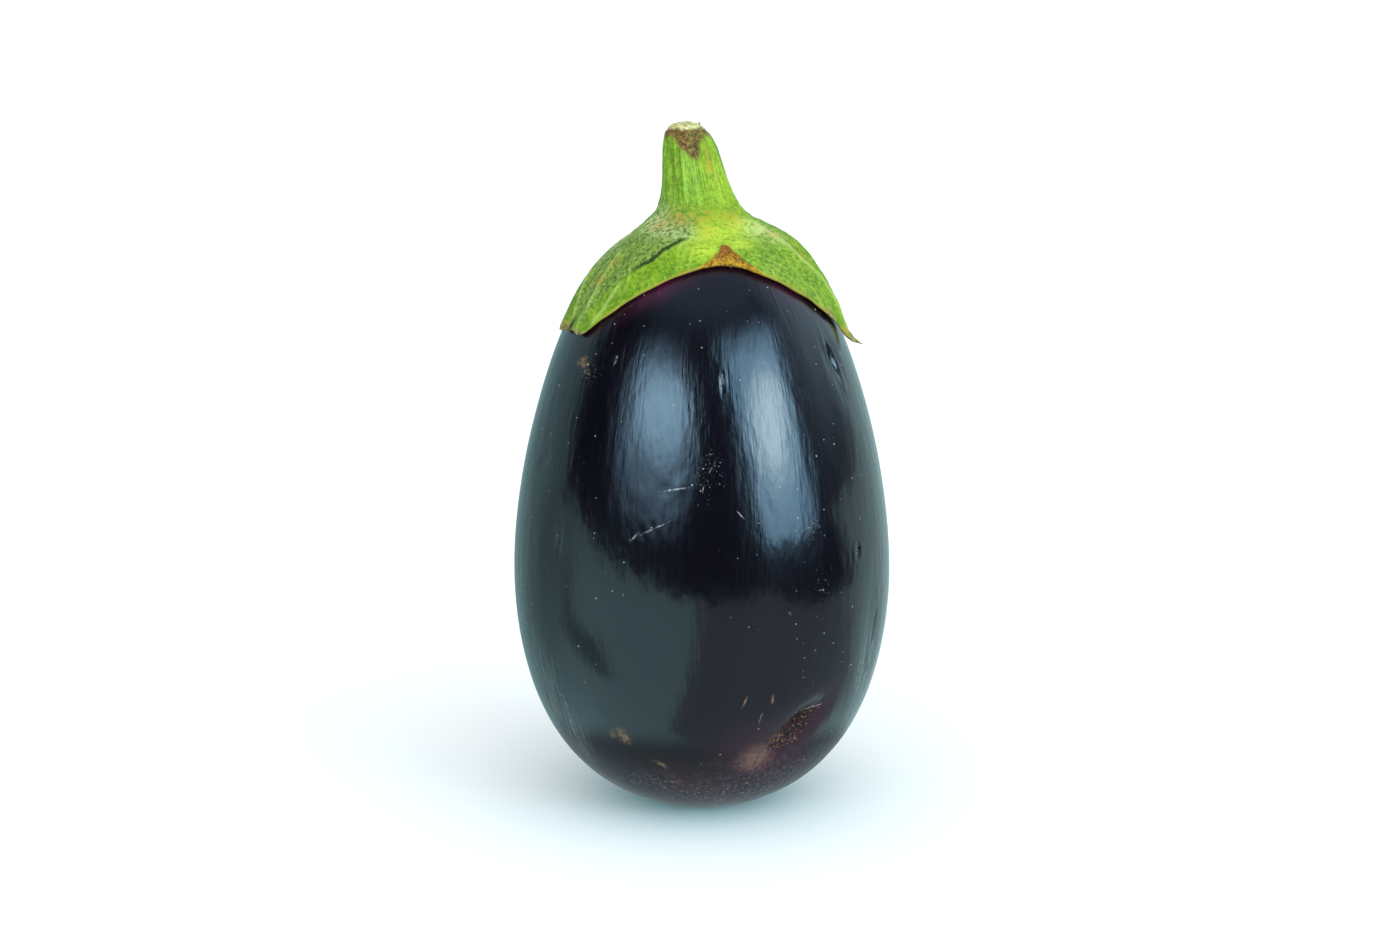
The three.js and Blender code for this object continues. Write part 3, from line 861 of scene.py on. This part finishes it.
# the outer layer is matt, so it only has a weak, wide shine
set_inputs(tree, shader, {"Roughness": 0.6, "IOR": 1.4, "Specular IOR Level": 0.25})
cap.data.materials.append(leafy)
print(leafy.name, "has", len(tree.nodes), "nodes")

# %% [markdown]
# ## The table and the light
# The eggplant stands on a white table before a white backdrop, in the light of two big soft windows in
# front of it. Its dark skin is a mirror, so the room has to be right: the two windows, the dark room
# between and beside them, the pale backdrop behind, and the white table up to its front edge.
# Area lamps would give the light, but not a window's uneven glow, so the room is painted on the world by
# direction. Grey cards that only a reflection can see stand for the table's darker parts, and the fruit's
# shadow is painted on the one for the whole table.

# %% Make the table
# matt white paper scatters nearly all the light, so it shows no reflections
white_table, tree, shader = new_material("matt_white_paper")
set_inputs(tree, shader, {"Base Color": colour("#eff1f1"), "Roughness": 0.8, "Specular IOR Level": 0.1})
# a faint glow stands for the light that the white room sends back into the shadow
set_inputs(tree, shader, {"Emission Color": colour("#8cf0e6"), "Emission Strength": 0.1})
# a round sheet of 9 m in radius, a hair below the fruit
bm = bmesh.new()
bmesh.ops.create_circle(bm, cap_ends=True, segments=64, radius=9.0)
bmesh.ops.translate(bm, verts=bm.verts, vec=(0, 0, -0.03 * MM))
table = bpy.data.objects.new("table", bpy.data.meshes.new("table"))
bm.to_mesh(table.data)
bm.free()
table.data.materials.append(white_table)
bpy.context.scene.collection.objects.link(table)
print("table:", len(table.data.polygons), "face with", len(table.data.vertices), "corners")

# %% Make the cards
# corners on the table in millimetres, and the brightness that a reflection sees
CARDS = {
    "card_right": ([(260, -3000), (3000, -3000), (3000, 60), (330, 60), (240, -100)], "#1a2028"),
    "card_low_right": (
        [(-19, -58), (40, -32), (92, 6), (300, 8), (330, -120), (260, -290), (-34, -290)], "#8e9ca8"
    ),
    "card_wedge": ([(-70, -70), (-128, -86), (-180, -56), (-560, -36), (-560, 6), (-170, -20)], "#74909a"),
}


def make_card(name, corners, code, height):
    """A flat sheet over the table that only reflections see."""
    bm = bmesh.new()
    bm.faces.new([bm.verts.new((x * MM, y * MM, height * MM)) for x, y in corners])
    card = bpy.data.objects.new(name, bpy.data.meshes.new(name))
    bm.to_mesh(card.data)
    bm.free()
    paper = bpy.data.materials.new(name)
    paper.use_nodes = True
    paper.node_tree.nodes.clear()
    glow = add_node(paper.node_tree, "ShaderNodeEmission", {"Color": colour(code)})
    add_node(paper.node_tree, "ShaderNodeOutputMaterial", {"Surface": glow.outputs[0]})
    card.data.materials.append(paper)
    bpy.context.scene.collection.objects.link(card)
    card.visible_camera = card.visible_diffuse = card.visible_shadow = card.visible_transmission = False


# each lies 0.05 mm below the last one, because faces in one plane would show through each other
for i, (name, (corners, code)) in enumerate(CARDS.items()):
    make_card(name, corners, code, 0.4 - 0.05 * i)
print(len(CARDS), "cards for the reflections")

# %% Make the card for the whole table
# brightest in front and dimmest behind on the left, dark past its front edge, and with the fruit's shadow
# painted dark under it
make_card("card_table", [(-9000, -9000), (9000, -9000), (9000, 9000), (-9000, 9000)], "#ffffff", 0.15)
tree = bpy.data.materials["card_table"].node_tree
where = add_node(tree, "ShaderNodeTexCoord", {}).outputs["Object"]
flat = add_node(tree, "ShaderNodeVectorMath", {0: where, 1: (1, 1, 0)}, operation="MULTIPLY").outputs[0]
away = add_node(tree, "ShaderNodeVectorMath", {0: flat}, operation="LENGTH").outputs["Value"]
side = add_node(tree, "ShaderNodeVectorMath", {0: flat}, operation="NORMALIZE").outputs[0]
side = add_node(tree, "ShaderNodeSeparateXYZ", {0: side})
# on the left, the front edge runs away from the fruit by 14 mm in every 100
place = add_node(tree, "ShaderNodeSeparateXYZ", {0: where})
to_left = add_node(tree, "ShaderNodeMath", {0: place.outputs["X"], 1: 0.0}, operation="MINIMUM").outputs[0]
to_front = {0: to_left, 1: -0.14, 2: place.outputs["Y"]}
to_front = add_node(tree, "ShaderNodeMath", to_front, operation="MULTIPLY_ADD").outputs[0]


def within(tree, *edges):
    """1 where each value is past its edge, else 0. An edge is a value, where it starts and where it ends."""
    steps = []
    for value, start, end in edges:
        edge = {"Value": value, 1: start, 2: end, 3: 0.0, 4: 1.0}
        steps.append(add_node(tree, "ShaderNodeMapRange", edge, interpolation_type="SMOOTHSTEP").outputs[0])
    inside = steps[0]
    for step in steps[1:]:
        inside = add_node(tree, "ShaderNodeMath", {0: inside, 1: step}, operation="MULTIPLY").outputs[0]
    return inside


on_right = within(tree, (side.outputs["X"], -0.5, 0.5))
behind = paint_layers(tree, [0.22, 0.37, 0.39, 1], [(on_right, [0.4, 0.6, 0.62, 1])])
TABLE_PARTS = [
    (within(tree, (side.outputs["Y"], -0.5, 0.25)), behind),
    # painted shadow: the table under the fruit is dark in its shade, as a reflection sees it
    (within(tree, (away, 0.062, 0.046)), [0.2, 0.26, 0.28, 1]),
    (within(tree, (to_front, -0.25, -0.35)), "#080b10"),
]
table_glow = paint_layers(tree, [0.5, 0.86, 0.92, 1], TABLE_PARTS)
tree.links.new(table_glow, tree.nodes["Emission"].inputs["Color"])
print("card_table has", len(tree.nodes), "nodes")

# %% Directions in the room
world = bpy.data.worlds.new("studio")
bpy.context.scene.world = world
world.use_nodes = True
tree = world.node_tree
tree.nodes.clear()
direction = add_node(tree, "ShaderNodeTexCoord", {}).outputs["Generated"]
parts = add_node(tree, "ShaderNodeSeparateXYZ", {0: direction})
# azimuth is 0 in front of the fruit and 90 on the right, as on its skin; elevation is 0 at the horizon
forward = add_node(
    tree, "ShaderNodeMath", {0: parts.outputs["Y"], 1: -1.0}, operation="MULTIPLY"
).outputs[0]
azimuth = add_node(
    tree, "ShaderNodeMath", {0: parts.outputs["X"], 1: forward}, operation="ARCTAN2"
).outputs[0]
azimuth = add_node(tree, "ShaderNodeMath", {0: azimuth}, operation="DEGREES").outputs[0]
elevation = add_node(tree, "ShaderNodeMath", {0: parts.outputs["Z"]}, operation="ARCSINE").outputs[0]
elevation = add_node(tree, "ShaderNodeMath", {0: elevation}, operation="DEGREES").outputs[0]
print("the world's directions take", len(tree.nodes), "nodes")


# %% Paint the room on the world
def room_patch(left, right, low, high, soft):
    """1 between two azimuths and two elevations, with edges as soft as this many degrees."""
    return within(
        tree,
        (azimuth, left - soft, left + soft),
        (azimuth, right + soft, right - soft),
        (elevation, low - soft, low + soft),
        (elevation, high + soft, high - soft),
    )


# the left window, 60 degrees wide and 42 high, is soft all round, like one behind a curtain
window_x = {"Value": azimuth, 1: -65.0, 2: -5.0, 3: -1.0, 4: 1.0}
window_x = add_node(tree, "ShaderNodeMapRange", window_x, clamp=False).outputs[0]
window_y = {"Value": elevation, 1: -1.0, 2: 41.0, 3: -1.0, 4: 1.0}
window_y = add_node(tree, "ShaderNodeMapRange", window_y, clamp=False).outputs[0]
window_place = add_node(tree, "ShaderNodeCombineXYZ", {"X": window_x, "Y": window_y}).outputs[0]
from_middle = add_node(tree, "ShaderNodeVectorMath", {0: window_place}, operation="LENGTH").outputs["Value"]
left_window = within(tree, (from_middle, 1.1, 0.55))
left_core = room_patch(-50, -13, 16, 28, 5)
# the right window has a slanted left edge and a sharp sill
slanted = add_node(
    tree, "ShaderNodeMath", {0: elevation, 1: 0.6, 2: azimuth}, operation="MULTIPLY_ADD"
).outputs[0]
right_window = within(tree, (slanted, 34, 44), (azimuth, 76, 66), (elevation, 46, 30), (elevation, -2, 1))
right_core = room_patch(40, 60, 11, 26, 4)
backdrop_left = within(tree, (azimuth, -92, -104))
backdrop_right = within(tree, (azimuth, 112, 132))
side_wall = within(tree, (azimuth, 74, 98), (elevation, -4, 26))
ceiling = within(tree, (elevation, 34, 62))
print("the room has", len(tree.nodes), "nodes so far")

# %% Give the room its brightness
# each part of the room with its brightness in a reflection, where the white table is about 1
ROOM = [0.005, 0.009, 0.016, 1]
ROOM_PARTS = [
    (backdrop_left, [0.23, 0.39, 0.43, 1]),
    (backdrop_right, [0.46, 0.7, 0.74, 1]),
    (side_wall, [0.6, 0.85, 1.05, 1]),
    (ceiling, [0.2, 0.32, 0.42, 1]),
    (left_window, [0.74, 1.26, 1.78, 1]),
    (left_core, [3.1, 5.3, 7.1, 1]),
    (right_window, [1.8, 3.4, 4.8, 1]),
    (right_core, [6.4, 8.8, 10.0, 1]),
]
reflected = paint_layers(tree, ROOM, ROOM_PARTS)
print(len(ROOM_PARTS), "parts of the room")

# %% Light the matt surfaces
# they get an even light that is strongest from above and from the front
FRONT_LIGHT = (0.35, -0.9, 0.25)
to_light = {0: direction, 1: FRONT_LIGHT}
frontal = add_node(tree, "ShaderNodeVectorMath", to_light, operation="DOT_PRODUCT").outputs["Value"]
shares = []
for facing in (parts.outputs["Z"], frontal):
    share = add_node(tree, "ShaderNodeMath", {0: facing, 1: 0.0}, operation="MAXIMUM").outputs[0]
    shares.append(add_node(tree, "ShaderNodeMath", {0: share, 1: 2.0}, operation="POWER").outputs[0])
overhead = paint_layers(tree, [0.5, 0.6, 0.6, 1], [(shares[0], [1.24, 1.06, 1.08, 1])])
with_front = {0: shares[1], 6: overhead, 7: [2.0, 1.9, 1.86, 1]}
matt_light = add_node(tree, "ShaderNodeMix", with_front, data_type="RGBA", blend_type="ADD").outputs[2]

# a ray from a matt surface sees this light, a reflection the room, and the camera the white backdrop
ray = add_node(tree, "ShaderNodeLightPath", {})
SEEN_BY = [
    (ray.outputs["Is Diffuse Ray"], matt_light),
    (ray.outputs["Is Camera Ray"], [0.97, 0.98, 0.985, 1]),
]
seen = paint_layers(tree, reflected, SEEN_BY)
background = add_node(tree, "ShaderNodeBackground", {"Color": seen, "Strength": 1.0})
add_node(tree, "ShaderNodeOutputWorld", {"Surface": background.outputs[0]})
bpy.context.scene.view_settings.view_transform = "Standard"
print("the room has", len(tree.nodes), "nodes")

# %% [markdown]
# ## Join the looks to the model
# Each piece rides on the part's one body, and stands in for its CAD node, which is hidden.

# %% Finish
for piece, node, slot in ((fruit, "fruit", "skin"), (cap, "cap_and_stem", "cap")):
    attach(piece, "root")
    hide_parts(node)
